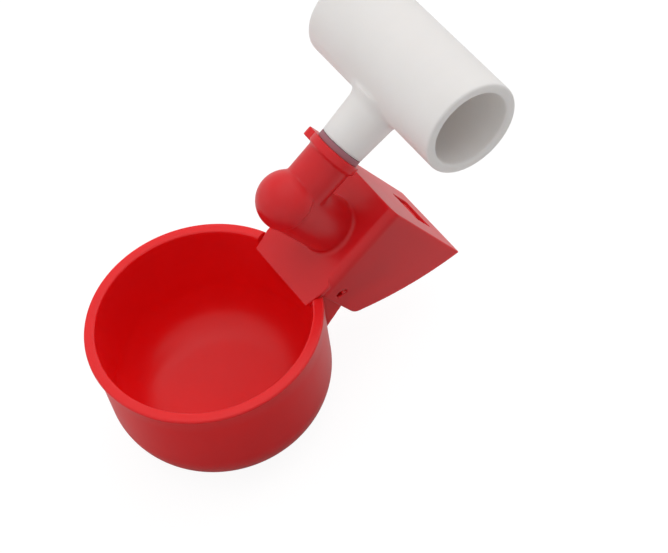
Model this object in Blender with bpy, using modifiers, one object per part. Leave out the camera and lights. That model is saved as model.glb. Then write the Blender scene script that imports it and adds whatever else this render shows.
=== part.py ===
"""Automatic drinking bowl for poultry, hung from a water pipe by a tee.

The bowl hangs on two pegs inside a hood. Water comes down the neck of the
hood into a barrel, and leaves through a nozzle above a rubber pad that the
tail of the bowl carries. A full bowl sinks and lifts the pad to the nozzle;
a spring lowers the pad again when the bowl is light.

Metres, +Z up, X along the pipe, the bowl towards -Y. The origin is the
centre of the bowl's base.
"""

import math

import bmesh
import bpy

# Bowl
RIM_RADIUS = 0.0400
RIM_WIDTH = 0.0037
LIP_HEIGHT = 0.0016
LIP_EDGE_RADIUS = 0.0005
BOWL_HEIGHT = 0.0486
BOWL_WALL = 0.0030
BOWL_FLOOR = 0.0026
BOWL_DRAFT = 0.0008
BOWL_CORNER_RADIUS = 0.0205
# The outside of the wall is not quite under the rim: the lip stands out most at the front
WALL_SET_BACK = 0.0006

# Hood: its roof slopes down towards the bowl and ends in a tongue over the rim
ROOF_SLOPE = math.radians(29.0)
TONGUE_REACH = 0.0100
TONGUE_DIP = 0.0025
TONGUE_TIP_WIDTH = 0.0306
TONGUE_FLARE_END = 0.0072
TONGUE_SQUARE_END = 0.0100
TONGUE_INSET = 0.0003
TONGUE_CORNER_RADIUS = 0.0006
HOOD_WIDTH = 0.0340
HOOD_LENGTH = 0.0430
HOOD_DEPTH = 0.0460
HOOD_WALL = 0.0016
HOOD_EDGE_RADIUS = 0.0035
CHEEK_START = 0.0062
CHEEK_FRONT_DEPTH = 0.0233
CHEEK_CORNER_RADIUS = 0.0050
CHEEK_BOW = 0.0019

# Valve barrel and neck, moulded on the hood
BARREL_RADIUS = 0.0102
BARREL_WALL = 0.0020
BARREL_TO_BACK = 0.0190
BARREL_SKIRT = 0.0030
DOME_CENTRE_HEIGHT = 0.0256
NECK_HEIGHT = 0.0232
NECK_RADIUS = 0.0082
NECK_DRAFT = 0.0003
NECK_BORE_RADIUS = 0.0064
NECK_END = 0.0468
COLLAR_RADIUS = 0.0092
COLLAR_LENGTH = 0.0028
EAR_REACH = 0.0128
EAR_WIDTH = 0.0070
EAR_THICKNESS = 0.0033
EAR_DROP = 0.0006
EAR_CORNER_RADIUS = 0.0015

# Hinge: pegs on the bowl's tray in slots of the hood's cheeks
HINGE_PLACE = 0.0110
HINGE_DEPTH = 0.0093
PEG_RADIUS = 0.0009
PEG_CLEARANCE = 0.0002
SLOT_LENGTH = 0.0040
BOWL_SWING = math.radians(3.5)

# Tray behind the bowl and its tail
TRAY_WALL = 0.0018
TRAY_SIDE_CLEARANCE = 0.0005
TRAY_FLOOR_DROP = 0.0106
TRAY_RISE = math.radians(42.0)
TRAY_KNEE = 0.0034
TRAY_EDGE_DROP = 0.0012
TRAY_CORNER_CUT = 0.0030
TAIL_WIDTH = 0.0100
TAIL_CORNER_RADIUS = 0.0020
TAIL_SET_BACK = 0.0006

# Gap in the rim for the tongue, and the throat that lets water into the bowl
RIM_GAP_CLEARANCE = 0.0005
THROAT_WIDTH = 0.0200
THROAT_DEPTH = 0.0150
THROAT_CORNER_RADIUS = 0.0030

# Window in the back plate, for the tail
WINDOW_WIDTH = 0.0144
WINDOW_CLEARANCE = 0.0004
WINDOW_ROOM_BELOW = 0.0030
WINDOW_CORNER_RADIUS = 0.0008

# Valve
NOZZLE_RADIUS = 0.0022
NOZZLE_BORE_RADIUS = 0.0009
NOZZLE_TIP_CHAMFER = 0.0005
NOZZLE_ROOT_CHAMFER = 0.0015
PLUG_LENGTH = 0.0050
PLUG_CHAMFER = 0.0005
PAD_RADIUS = 0.0038
PAD_THICKNESS = 0.0020
PAD_CHAMFER = 0.0003
PAD_SEAT_GAP = 0.0001
PAD_RECESS = 0.0012
PAD_CUP_WALL = 0.0012
PAD_POST_WIDTH = 0.0050

# Spring between the roof and the tail
SPRING_RADIUS = 0.0030
SPRING_WIRE_RADIUS = 0.0003
SPRING_TURNS = 7
SPRING_STEPS_A_TURN = 14
SPRING_CLOSED_PITCH = 2.2
SPRING_LENGTH = 0.0160
SPRING_FRONT_GAP = 0.0007
SPRING_BACK_GAP = 0.0016
SPRING_SPIGOT_RADIUS = 0.0018
SPRING_SPIGOT_LENGTH = 0.0025

# Tee
TEE_RADIUS = 0.0169
TEE_HALF_LENGTH = 0.0333
TEE_PLACE = 0.0816
SOCKET_RADIUS = 0.0134
SOCKET_DEPTH = 0.0215
SOCKET_SEAT_CHAMFER = 0.0005
TEE_BORE_RADIUS = 0.0117
TEE_EDGE = 0.0006
STUB_RADIUS = 0.0080
STUB_ROOT_RADIUS = 0.0089
STUB_FLARE = 0.0028
STUB_FLARE_START = 0.0020
STUB_BORE_RADIUS = 0.0042
SPIGOT_LENGTH = 0.0120
SPIGOT_CHAMFER = 0.0005
SEAL_THICKNESS = 0.0019

# Gaps that let pieces go together
FIT_GAP = 0.0003
SEAL_GAP = 0.0001

BOWL_STEPS = 64
ROUND_STEPS = 56
SMALL_STEPS = 28
CORNER_STEPS = 8
ARC_STEPS = 6
SMALL_ARC_STEPS = 3
SPRING_WIRE_STEPS = 2
WELD_DISTANCE = 0.000001

COS = math.cos(ROOF_SLOPE)
SIN = math.sin(ROOF_SLOPE)
TIP_Y = RIM_RADIUS - TONGUE_REACH
TIP_Z = BOWL_HEIGHT - TONGUE_DIP
BARREL_PLACE = HOOD_LENGTH - BARREL_TO_BACK


def from_hood(along, above):
    """World y and z of a point given along the roof and above it."""
    return (TIP_Y + along * COS - above * SIN, TIP_Z + along * SIN + above * COS)


def to_hood(y, z):
    """A world point as along the roof and above it."""
    return ((y - TIP_Y) * COS + (z - TIP_Z) * SIN, -(y - TIP_Y) * SIN + (z - TIP_Z) * COS)


def plane_y(along, z):
    """World y, at a height, of the plane that crosses the roof squarely at a place along it."""
    return TIP_Y + along / COS - (z - TIP_Z) * SIN / COS


def roof_z(y):
    """World height of the roof's top at a world y."""
    return TIP_Z + (y - TIP_Y) * SIN / COS


HINGE_Y, HINGE_Z = from_hood(HINGE_PLACE, -HINGE_DEPTH)
TAIL_TOP_Z = BOWL_HEIGHT - TRAY_FLOOR_DROP + TRAY_WALL
TAIL_END = plane_y(HOOD_LENGTH, TAIL_TOP_Z - TRAY_WALL / 2) - TAIL_SET_BACK
SPRING_OUTSIDE = SPRING_RADIUS + SPRING_WIRE_RADIUS
SPRING_TOP_Z = TAIL_TOP_Z + SPRING_LENGTH
SPRING_Y = plane_y(HOOD_LENGTH - HOOD_WALL, SPRING_TOP_Z) - SPRING_OUTSIDE - SPRING_BACK_GAP
TRAY_END = SPRING_Y - SPRING_OUTSIDE - SPRING_FRONT_GAP


def clear_scene():
    for item in list(bpy.data.objects):
        bpy.data.objects.remove(item, do_unlink=True)


def make_collection(name):
    collection = bpy.data.collections.new(name)
    bpy.context.scene.collection.children.link(collection)
    return collection


def make_material(name, colour, roughness, metallic=0.0):
    material = bpy.data.materials.new(name)
    material.use_nodes = True
    shader = material.node_tree.nodes["Principled BSDF"]
    shader.inputs["Base Color"].default_value = (*colour, 1.0)
    shader.inputs["Roughness"].default_value = roughness
    shader.inputs["Metallic"].default_value = metallic
    material.diffuse_color = (*colour, 1.0)
    return material


def make_empty(name, collection, location, rotation=(0, 0, 0)):
    empty = bpy.data.objects.new(name, None)
    empty.empty_display_size = HOOD_EDGE_RADIUS
    empty.location = location
    empty.rotation_euler = rotation
    collection.objects.link(empty)
    return empty


def place(item, collection, parent=None, location=(0, 0, 0), rotation=(0, 0, 0)):
    collection.objects.link(item)
    item.parent = parent
    item.location = location
    item.rotation_euler = rotation
    return item


def as_tool(item):
    """Marks a shape that only cuts or joins another one."""
    item.hide_render = True
    item.display_type = "WIRE"
    return item


def rounded(corners, steps=ARC_STEPS):
    """Outline points of a polygon whose corners (x, y, radius) are rounded."""
    points = []
    count = len(corners)
    for index, (x, y, radius) in enumerate(corners):
        if radius == 0:
            points.append((x, y))
            continue
        before = corners[index - 1]
        after = corners[(index + 1) % count]
        angle_in = math.atan2(before[1] - y, before[0] - x)
        angle_out = math.atan2(after[1] - y, after[0] - x)
        half = math.remainder(angle_out - angle_in, 2 * math.pi) / 2
        middle = angle_in + half
        reach = radius / math.sin(abs(half))
        centre_x = x + reach * math.cos(middle)
        centre_y = y + reach * math.sin(middle)
        spread = math.pi / 2 - abs(half)
        turn = -1 if half < 0 else 1
        for step in range(steps + 1):
            angle = middle + math.pi + turn * spread * (1 - 2 * step / steps)
            points.append((centre_x + radius * math.cos(angle), centre_y + radius * math.sin(angle)))
    return points


def arc(centre, radius, start, end, steps=ARC_STEPS):
    """Points on a circle from one angle to another, both in degrees."""
    points = []
    for step in range(steps + 1):
        angle = math.radians(start + (end - start) * step / steps)
        points.append((centre[0] + radius * math.cos(angle), centre[1] + radius * math.sin(angle)))
    return points


def bowed(start, end, bow, steps=ARC_STEPS):
    """Points between two ends, bowed out to the right of the way they run."""
    run_x = end[0] - start[0]
    run_y = end[1] - start[1]
    length = math.hypot(run_x, run_y)
    points = []
    for step in range(1, steps):
        share = step / steps
        lift = bow * 4 * share * (1 - share)
        points.append((start[0] + run_x * share + run_y / length * lift,
                       start[1] + run_y * share - run_x / length * lift))
    return points


def prism(name, points, depth):
    """A flat outline in local XY, as thick as depth along local Z."""
    curve = bpy.data.curves.new(name, "CURVE")
    curve.dimensions = "2D"
    curve.fill_mode = "BOTH"
    curve.extrude = depth / 2
    spline = curve.splines.new("POLY")
    spline.points.add(len(points) - 1)
    for target, (x, y) in zip(spline.points, points):
        target.co = (x, y, 0, 1)
    spline.use_cyclic_u = True
    return curve_to_mesh(name, curve)


def curve_to_mesh(name, curve):
    """The mesh of a curve, with the loose caps welded on."""
    guide = bpy.data.objects.new(name, curve)
    bpy.context.scene.collection.objects.link(guide)
    depsgraph = bpy.context.evaluated_depsgraph_get()
    mesh = bpy.data.meshes.new_from_object(guide.evaluated_get(depsgraph))
    bpy.data.objects.remove(guide, do_unlink=True)
    mesh.name = name
    weld(mesh)
    return bpy.data.objects.new(name, mesh)


def weld(mesh):
    work = bmesh.new()
    work.from_mesh(mesh)
    bmesh.ops.remove_doubles(work, verts=work.verts, dist=WELD_DISTANCE)
    bmesh.ops.recalc_face_normals(work, faces=work.faces)
    work.to_mesh(mesh)
    work.free()


def turned(name, profile, steps=ROUND_STEPS, closed=False):
    """A solid of revolution about local Z from points (radius, height)."""
    mesh = bpy.data.meshes.new(name)
    edges = [(index, index + 1) for index in range(len(profile) - 1)]
    if closed:
        edges.append((len(profile) - 1, 0))
    mesh.from_pydata([(radius, 0, height) for radius, height in profile], edges, [])
    item = bpy.data.objects.new(name, mesh)
    screw = item.modifiers.new("Turn", "SCREW")
    screw.axis = "Z"
    screw.angle = 2 * math.pi
    screw.steps = steps
    screw.render_steps = steps
    screw.use_merge_vertices = True
    screw.merge_threshold = WELD_DISTANCE
    screw.use_smooth_shade = True
    return item


def boolean(item, tool, operation):
    modifier = item.modifiers.new(operation.title() + " " + tool.name, "BOOLEAN")
    modifier.operation = operation
    modifier.solver = "EXACT"
    modifier.object = tool


def cylinder_profile(radius, bottom, top):
    return [(0, top), (radius, top), (radius, bottom), (0, bottom)]


# Outlines that lie in the YZ plane, and are thick along X
SIDEWAYS = (math.pi / 2, 0, math.pi / 2)
# Outlines that lie in the XZ plane, and are thick along Y
UPRIGHT = (math.pi / 2, 0, 0)
# Turned shapes whose axis runs along X
ALONG_X = (0, math.pi / 2, 0)
# Turned shapes whose axis runs along the neck, top end up
ALONG_NECK = (-math.pi / 2, 0, 0)


def bowl_side(radius_top, base_z, corner_radius):
    """Down a wall of the bowl and round its corner, to the middle of the base."""
    radius_low = radius_top - BOWL_DRAFT
    corner_z = base_z + corner_radius
    points = arc((radius_low - corner_radius, corner_z), corner_radius, 0, -90, CORNER_STEPS)
    points.append((0, base_z))
    return points


def bowl_outer_profile():
    """The bowl as a full block, up to the middle of the lip."""
    radius_top = RIM_RADIUS - RIM_WIDTH + BOWL_WALL
    top = BOWL_HEIGHT - LIP_HEIGHT / 2
    return [(0, top), (radius_top, top)] + bowl_side(radius_top, 0, BOWL_CORNER_RADIUS)


def lip_profile():
    """The lip as a full disc."""
    edge = LIP_EDGE_RADIUS
    points = [(0, BOWL_HEIGHT)]
    points += arc((RIM_RADIUS - edge, BOWL_HEIGHT - edge), edge, 90, 0, SMALL_ARC_STEPS)
    points += [(RIM_RADIUS, BOWL_HEIGHT - LIP_HEIGHT), (0, BOWL_HEIGHT - LIP_HEIGHT)]
    return points


def bowl_hollow_profile():
    """The room inside the bowl, flared at the rim's inner edge."""
    edge = LIP_EDGE_RADIUS
    inner = RIM_RADIUS - RIM_WIDTH
    points = [(0, BOWL_HEIGHT + edge), (inner + edge, BOWL_HEIGHT + edge)]
    points += arc((inner + edge, BOWL_HEIGHT - edge), edge, 105, 180, SMALL_ARC_STEPS)
    points += bowl_side(inner, BOWL_FLOOR, BOWL_CORNER_RADIUS - BOWL_FLOOR)
    return points


def bowl_core_profile():
    """A block whose side lies in the middle of the bowl's wall."""
    radius_top = RIM_RADIUS - RIM_WIDTH + BOWL_WALL / 2
    corner_radius = BOWL_CORNER_RADIUS - BOWL_FLOOR / 2
    return ([(0, 2 * BOWL_HEIGHT), (radius_top, 2 * BOWL_HEIGHT), (radius_top, BOWL_HEIGHT)]
            + bowl_side(radius_top, BOWL_FLOOR / 2, corner_radius))


def tray_side_outline(inset):
    """Side of the tray in world y and z, its floor raised by inset."""
    floor_z = BOWL_HEIGHT - TRAY_FLOOR_DROP + inset
    knee_y = HINGE_Y + TRAY_KNEE - inset * math.tan(TRAY_RISE / 2)
    start_y = RIM_RADIUS - RIM_WIDTH - BOWL_WALL
    start_z = floor_z - (knee_y - start_y) * math.tan(TRAY_RISE)
    end_y = TRAY_END - inset
    if inset > 0:
        above = 2 * BOWL_HEIGHT
        return [(start_y, start_z), (knee_y, floor_z), (end_y, floor_z), (end_y, above), (start_y, above)]
    top_z = BOWL_HEIGHT - TRAY_EDGE_DROP
    front_top_z = BOWL_HEIGHT - TONGUE_DIP - HOOD_WALL
    return [(start_y, start_z), (knee_y, floor_z), (end_y, floor_z), (end_y, top_z - TRAY_CORNER_CUT),
            (end_y - TRAY_CORNER_CUT, top_z), (HINGE_Y, top_z), (RIM_RADIUS - RIM_WIDTH, front_top_z),
            (start_y, front_top_z)]


def tray_half_width():
    return HOOD_WIDTH / 2 - HOOD_WALL - TRAY_SIDE_CLEARANCE


def pad_pose():
    """Centre of the pad's face at rest, in world y and z, and its tilt."""
    face = from_hood(BARREL_PLACE, -HINGE_DEPTH - PAD_SEAT_GAP)
    arm_y = face[0] - HINGE_Y
    arm_z = face[1] - HINGE_Z
    cos_open = math.cos(-BOWL_SWING)
    sin_open = math.sin(-BOWL_SWING)
    return (HINGE_Y + arm_y * cos_open - arm_z * sin_open,
            HINGE_Z + arm_y * sin_open + arm_z * cos_open,
            ROOF_SLOPE - BOWL_SWING)


def rim_gap_outline():
    """Plan of the gap in the rim, which widens along the tongue up to the cheeks."""
    clear = RIM_GAP_CLEARANCE
    tip_half = TONGUE_TIP_WIDTH / 2 + clear
    cheek_half = HOOD_WIDTH / 2 + clear
    cheek_y = from_hood(CHEEK_START, 0)[0] - clear
    back_y = RIM_RADIUS + TONGUE_REACH
    right = [(tip_half, TIP_Y - clear), (cheek_half, cheek_y), (cheek_half, back_y)]
    left = [(-x, y) for x, y in reversed(right)]
    return right + left


def build_bowl(parts, tools, hinge, red):
    to_world = (0, -HINGE_Y, -HINGE_Z)
    bowl = place(turned("bowl", bowl_outer_profile(), BOWL_STEPS), parts, hinge,
                 (0, WALL_SET_BACK - HINGE_Y, -HINGE_Z))
    bowl.data.materials.append(red)
    lip = as_tool(place(turned("lip", lip_profile(), BOWL_STEPS), tools, hinge, to_world))
    half_step = (0, 0, math.pi / BOWL_STEPS)
    hollow = as_tool(place(turned("bowl_hollow", bowl_hollow_profile(), BOWL_STEPS), tools, hinge, to_world,
                           half_step))
    boolean(bowl, lip, "UNION")
    boolean(bowl, hollow, "DIFFERENCE")

    step_z = BOWL_HEIGHT - TONGUE_DIP - HOOD_WALL
    gap_height = 2 * (BOWL_HEIGHT - step_z)
    rim_gap = as_tool(place(prism("rim_gap", rim_gap_outline(), gap_height), tools, hinge,
                            (0, -HINGE_Y, step_z + gap_height / 2 - HINGE_Z)))
    boolean(bowl, rim_gap, "DIFFERENCE")
    throat_half = THROAT_WIDTH / 2
    throat_z = BOWL_HEIGHT - THROAT_DEPTH
    throat_outline = rounded([(-throat_half, throat_z, THROAT_CORNER_RADIUS),
                              (throat_half, throat_z, THROAT_CORNER_RADIUS),
                              (throat_half, 2 * BOWL_HEIGHT, 0), (-throat_half, 2 * BOWL_HEIGHT, 0)],
                             SMALL_ARC_STEPS)
    throat = as_tool(place(prism("throat", throat_outline, 2 * TONGUE_REACH), tools, hinge,
                           (0, RIM_RADIUS - HINGE_Y, -HINGE_Z), UPRIGHT))
    boolean(bowl, throat, "DIFFERENCE")

    half = tray_half_width()
    tray = as_tool(place(prism("tray", tray_side_outline(0), 2 * half), tools, hinge, to_world, SIDEWAYS))
    tray_hollow = as_tool(place(prism("tray_hollow", tray_side_outline(TRAY_WALL), 2 * (half - TRAY_WALL)),
                                tools, hinge, to_world, SIDEWAYS))
    core = as_tool(place(turned("bowl_core", bowl_core_profile(), BOWL_STEPS), tools, hinge, to_world))
    boolean(tray, tray_hollow, "DIFFERENCE")
    boolean(tray, core, "DIFFERENCE")

    tail_length = TAIL_END - TRAY_END + 2 * TRAY_WALL
    tail_half = TAIL_WIDTH / 2
    tail_outline = rounded([(-tail_half, 0, 0), (tail_half, 0, 0), (tail_half, tail_length, TAIL_CORNER_RADIUS),
                            (-tail_half, tail_length, TAIL_CORNER_RADIUS)], SMALL_ARC_STEPS)
    tail = as_tool(place(prism("tail", tail_outline, TRAY_WALL), tools, hinge,
                         (0, TAIL_END - tail_length - HINGE_Y, TAIL_TOP_Z - TRAY_WALL / 2 - HINGE_Z)))
    spigot_profile = cylinder_profile(SPRING_SPIGOT_RADIUS, -TRAY_WALL / 2, SPRING_SPIGOT_LENGTH)
    spigot = as_tool(place(turned("tail_spigot", spigot_profile, SMALL_STEPS), tools, hinge,
                           (0, SPRING_Y - HINGE_Y, TAIL_TOP_Z - HINGE_Z)))

    peg_length = HOOD_WIDTH - FIT_GAP
    peg_profile = cylinder_profile(PEG_RADIUS, -peg_length / 2, peg_length / 2)
    pegs = as_tool(place(turned("pegs", peg_profile, SMALL_STEPS), tools, hinge, (0, 0, 0), ALONG_X))
    block = 3 * PEG_RADIUS
    between = as_tool(place(prism("between_pegs", [(-block, -block), (block, -block), (block, block), (-block, block)],
                                  2 * half - TRAY_WALL), tools, hinge, (0, 0, 0), SIDEWAYS))
    boolean(pegs, between, "DIFFERENCE")

    post, cup = build_pad_holder(tools, hinge)
    for piece in (tray, tail, spigot, pegs, post, cup):
        boolean(bowl, piece, "UNION")
    return bowl


def build_pad_holder(tools, hinge):
    """The cup that holds the pad, and the post that carries it on the tray's floor."""
    pad_y, pad_z, pad_tilt = pad_pose()
    cup_radius = PAD_RADIUS + FIT_GAP
    cup_floor = -PAD_THICKNESS - FIT_GAP
    cup_rim = PAD_RECESS - PAD_THICKNESS
    cup_profile = [(0, cup_floor), (cup_radius, cup_floor), (cup_radius, cup_rim),
                   (cup_radius + PAD_CUP_WALL, cup_rim),
                   (cup_radius + PAD_CUP_WALL, cup_floor - PAD_CUP_WALL), (0, cup_floor - PAD_CUP_WALL)]
    cup = as_tool(place(turned("pad_cup", cup_profile, SMALL_STEPS), tools, hinge,
                        (0, pad_y - HINGE_Y, pad_z - HINGE_Z), (pad_tilt, 0, 0)))
    below = cup_floor - PAD_CUP_WALL / 2
    middle_y = pad_y - below * math.sin(pad_tilt)
    middle_z = pad_z + below * math.cos(pad_tilt)
    half_y = PAD_RADIUS * math.cos(pad_tilt)
    half_z = PAD_RADIUS * math.sin(pad_tilt)
    foot_z = TAIL_TOP_Z - TRAY_WALL / 2
    post_outline = [(middle_y - half_y, middle_z - half_z), (middle_y - half_y, foot_z),
                    (middle_y + half_y, foot_z), (middle_y + half_y, middle_z + half_z)]
    post = as_tool(place(prism("pad_post", post_outline, PAD_POST_WIDTH), tools, hinge,
                         (0, -HINGE_Y, -HINGE_Z), SIDEWAYS))
    return post, cup


def hood_side_outline():
    """Side of the hood, along the roof and above it."""
    above = HOOD_WALL
    back_low = (HOOD_LENGTH, -HOOD_DEPTH)
    corner = rounded([(CHEEK_START, above, 0), (CHEEK_START, -CHEEK_FRONT_DEPTH, CHEEK_CORNER_RADIUS),
                      (*back_low, 0)])
    bow = bowed(corner[-2], back_low, CHEEK_BOW)
    return corner[:-1] + bow + [back_low, (HOOD_LENGTH, above)]


def section_outline(half_width, top, radius):
    """Section across the hood, open far below its cheeks."""
    low = -2 * HOOD_DEPTH
    return rounded([(-half_width, low, 0), (half_width, low, 0), (half_width, top, radius),
                    (-half_width, top, radius)])


def tongue_outline():
    """Plan of the tongue in the roof's plane, from its tip to inside the roof."""
    tip_half = TONGUE_TIP_WIDTH / 2
    full_half = HOOD_WIDTH / 2 - TONGUE_INSET
    flat_half = HOOD_WIDTH / 2 - HOOD_EDGE_RADIUS
    root = TONGUE_SQUARE_END + HOOD_EDGE_RADIUS
    return rounded([(-tip_half, 0, TONGUE_CORNER_RADIUS), (tip_half, 0, TONGUE_CORNER_RADIUS),
                    (full_half, TONGUE_FLARE_END, 0), (full_half, TONGUE_SQUARE_END, 0), (flat_half, root, 0),
                    (-flat_half, root, 0), (-full_half, TONGUE_SQUARE_END, 0),
                    (-full_half, TONGUE_FLARE_END, 0)], SMALL_ARC_STEPS)


def build_hood(parts, tools, frame, red):
    hood = place(prism("hood", hood_side_outline(), 2 * HOOD_WIDTH), parts, frame, (0, 0, 0), SIDEWAYS)
    hood.data.materials.append(red)

    reach = 4 * HOOD_LENGTH
    outside = as_tool(place(prism("hood_outside", section_outline(HOOD_WIDTH / 2, 0, HOOD_EDGE_RADIUS), reach),
                            tools, frame, (0, 0, 0), UPRIGHT))
    hollow_outline = section_outline(HOOD_WIDTH / 2 - HOOD_WALL, -HOOD_WALL, HOOD_EDGE_RADIUS - HOOD_WALL)
    hollow_end = HOOD_LENGTH - HOOD_WALL
    inside = as_tool(place(prism("hood_inside", hollow_outline, reach), tools, frame,
                           (0, hollow_end - reach / 2, 0), UPRIGHT))
    boolean(hood, outside, "INTERSECT")
    boolean(hood, inside, "DIFFERENCE")

    tongue = as_tool(place(prism("tongue", tongue_outline(), HOOD_WALL), tools, frame, (0, 0, -HOOD_WALL / 2)))
    barrel = build_barrel(tools, frame)
    neck = build_neck(tools, frame)
    ear = build_ear(tools, frame)
    boss = build_boss(tools, frame)
    for piece in (tongue, barrel, neck, ear, boss):
        boolean(hood, piece, "UNION")

    slots = build_slots(tools)
    window = build_window(tools, frame)
    bore = build_bore(tools, frame)
    for cutter in (slots, window, bore):
        boolean(hood, cutter, "DIFFERENCE")
    return hood


def dome(radius, start):
    """Profile of the barrel's round end, from its crown down to its side."""
    crown = [(0, DOME_CENTRE_HEIGHT + radius)]
    return crown + arc((0, DOME_CENTRE_HEIGHT), radius, start, 0, CORNER_STEPS)


def build_barrel(tools, frame):
    low = -HOOD_WALL - BARREL_SKIRT
    profile = dome(BARREL_RADIUS, 80) + [(BARREL_RADIUS, low), (0, low)]
    return as_tool(place(turned("barrel", profile), tools, frame, (0, BARREL_PLACE, 0)))


def build_neck(tools, frame):
    length = NECK_END - BARREL_PLACE
    collar_low = length - COLLAR_LENGTH
    profile = [(0, length), (COLLAR_RADIUS, length), (COLLAR_RADIUS, collar_low),
               (NECK_RADIUS, collar_low - (COLLAR_RADIUS - NECK_RADIUS)), (NECK_RADIUS - NECK_DRAFT, 0), (0, 0)]
    return as_tool(place(turned("neck", profile), tools, frame, (0, BARREL_PLACE, NECK_HEIGHT), ALONG_NECK))


def build_ear(tools, frame):
    half = EAR_WIDTH / 2
    outline = rounded([(-EAR_REACH, -half, EAR_CORNER_RADIUS), (0, -half, 0), (0, half, 0),
                       (-EAR_REACH, half, EAR_CORNER_RADIUS)], SMALL_ARC_STEPS)
    return as_tool(place(prism("ear", outline, EAR_THICKNESS), tools, frame,
                         (0, NECK_END - EAR_DROP - EAR_THICKNESS / 2, NECK_HEIGHT), UPRIGHT))


def build_boss(tools, frame):
    """The spring's upper seat, which stands on the tilted roof but is upright itself."""
    top = roof_z(SPRING_Y + SPRING_OUTSIDE) - SPRING_TOP_Z
    profile = [(0, top), (SPRING_OUTSIDE, top), (SPRING_OUTSIDE, 0), (SPRING_SPIGOT_RADIUS, 0),
               (SPRING_SPIGOT_RADIUS, -SPRING_SPIGOT_LENGTH), (0, -SPRING_SPIGOT_LENGTH)]
    along, above = to_hood(SPRING_Y, SPRING_TOP_Z)
    boss = as_tool(place(turned("spring_boss", profile, SMALL_STEPS), tools, frame,
                         (0, along, above), (-ROOF_SLOPE, 0, 0)))
    reach = 4 * HOOD_LENGTH
    room = as_tool(place(prism("boss_room", section_outline(HOOD_WIDTH / 4, -HOOD_WALL / 2, 0), reach), tools,
                         frame, (0, HOOD_LENGTH - HOOD_WALL / 2 - reach / 2, 0), UPRIGHT))
    boolean(boss, room, "INTERSECT")
    return boss


def build_slots(tools):
    """Slots for the hinge pegs, through both cheeks."""
    radius = PEG_RADIUS + PEG_CLEARANCE
    outline = arc((0, 0), radius, -90, 90) + arc((2 * radius - SLOT_LENGTH, 0), radius, 90, 270)
    return as_tool(place(prism("peg_slots", outline, 2 * HOOD_WIDTH), tools, None, (0, HINGE_Y, HINGE_Z), SIDEWAYS))


def window_span():
    """Lowest and highest places of the window in the back plate, with room under the tail."""
    rise = (TAIL_END - HINGE_Y) * math.sin(BOWL_SWING)
    inner = HOOD_LENGTH - HOOD_WALL
    low_z = TAIL_TOP_Z - TRAY_WALL - WINDOW_CLEARANCE - WINDOW_ROOM_BELOW
    high_z = TAIL_TOP_Z + rise + WINDOW_CLEARANCE
    low = (low_z - TIP_Z - HOOD_LENGTH * SIN) / COS
    high = (high_z - TIP_Z - inner * SIN) / COS
    return (low, high)


def build_window(tools, frame):
    low, high = window_span()
    half = WINDOW_WIDTH / 2
    outline = rounded([(-half, low, WINDOW_CORNER_RADIUS), (half, low, WINDOW_CORNER_RADIUS),
                       (half, high, WINDOW_CORNER_RADIUS), (-half, high, WINDOW_CORNER_RADIUS)], SMALL_ARC_STEPS)
    return as_tool(place(prism("tail_window", outline, 4 * HOOD_WALL), tools, frame,
                         (0, HOOD_LENGTH - HOOD_WALL / 2, 0), UPRIGHT))


def build_bore(tools, frame):
    """The water's way down the neck and the barrel."""
    radius = BARREL_RADIUS - BARREL_WALL
    low = -HOOD_WALL - 2 * BARREL_SKIRT
    barrel_bore = as_tool(place(turned("barrel_bore", dome(radius, 78) + [(radius, low), (0, low)]), tools, frame,
                                (0, BARREL_PLACE, 0)))
    neck_profile = cylinder_profile(NECK_BORE_RADIUS, radius / 5, 2 * (NECK_END - BARREL_PLACE))
    neck_bore = as_tool(place(turned("neck_bore", neck_profile), tools, frame,
                              (0, BARREL_PLACE, NECK_HEIGHT), ALONG_NECK))
    boolean(barrel_bore, neck_bore, "UNION")
    return barrel_bore


def build_nozzle(parts, frame, acetal):
    plug_radius = BARREL_RADIUS - BARREL_WALL - FIT_GAP
    bottom = -HOOD_WALL - BARREL_SKIRT
    top = bottom + PLUG_LENGTH
    funnel = NOZZLE_ROOT_CHAMFER
    tip_radius = NOZZLE_RADIUS - NOZZLE_TIP_CHAMFER
    profile = [(NOZZLE_BORE_RADIUS, top - funnel), (NOZZLE_BORE_RADIUS + funnel, top),
               (plug_radius - PLUG_CHAMFER, top), (plug_radius, top - PLUG_CHAMFER), (plug_radius, bottom),
               (2 * NOZZLE_RADIUS, bottom), (NOZZLE_RADIUS, bottom - NOZZLE_ROOT_CHAMFER),
               (NOZZLE_RADIUS, -HINGE_DEPTH + NOZZLE_TIP_CHAMFER), (tip_radius, -HINGE_DEPTH),
               (NOZZLE_BORE_RADIUS, -HINGE_DEPTH)]
    nozzle = place(turned("valve_nozzle", profile, SMALL_STEPS, closed=True), parts, frame, (0, BARREL_PLACE, 0))
    nozzle.data.materials.append(acetal)
    return nozzle


def build_pad(parts, hinge, rubber):
    pad_y, pad_z, pad_tilt = pad_pose()
    profile = [(0, 0), (PAD_RADIUS - PAD_CHAMFER, 0), (PAD_RADIUS, -PAD_CHAMFER), (PAD_RADIUS, -PAD_THICKNESS),
               (0, -PAD_THICKNESS)]
    pad = place(turned("valve_pad", profile, SMALL_STEPS), parts, hinge,
                (0, pad_y - HINGE_Y, pad_z - HINGE_Z), (pad_tilt, 0, 0))
    pad.data.materials.append(rubber)
    return pad


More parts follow.
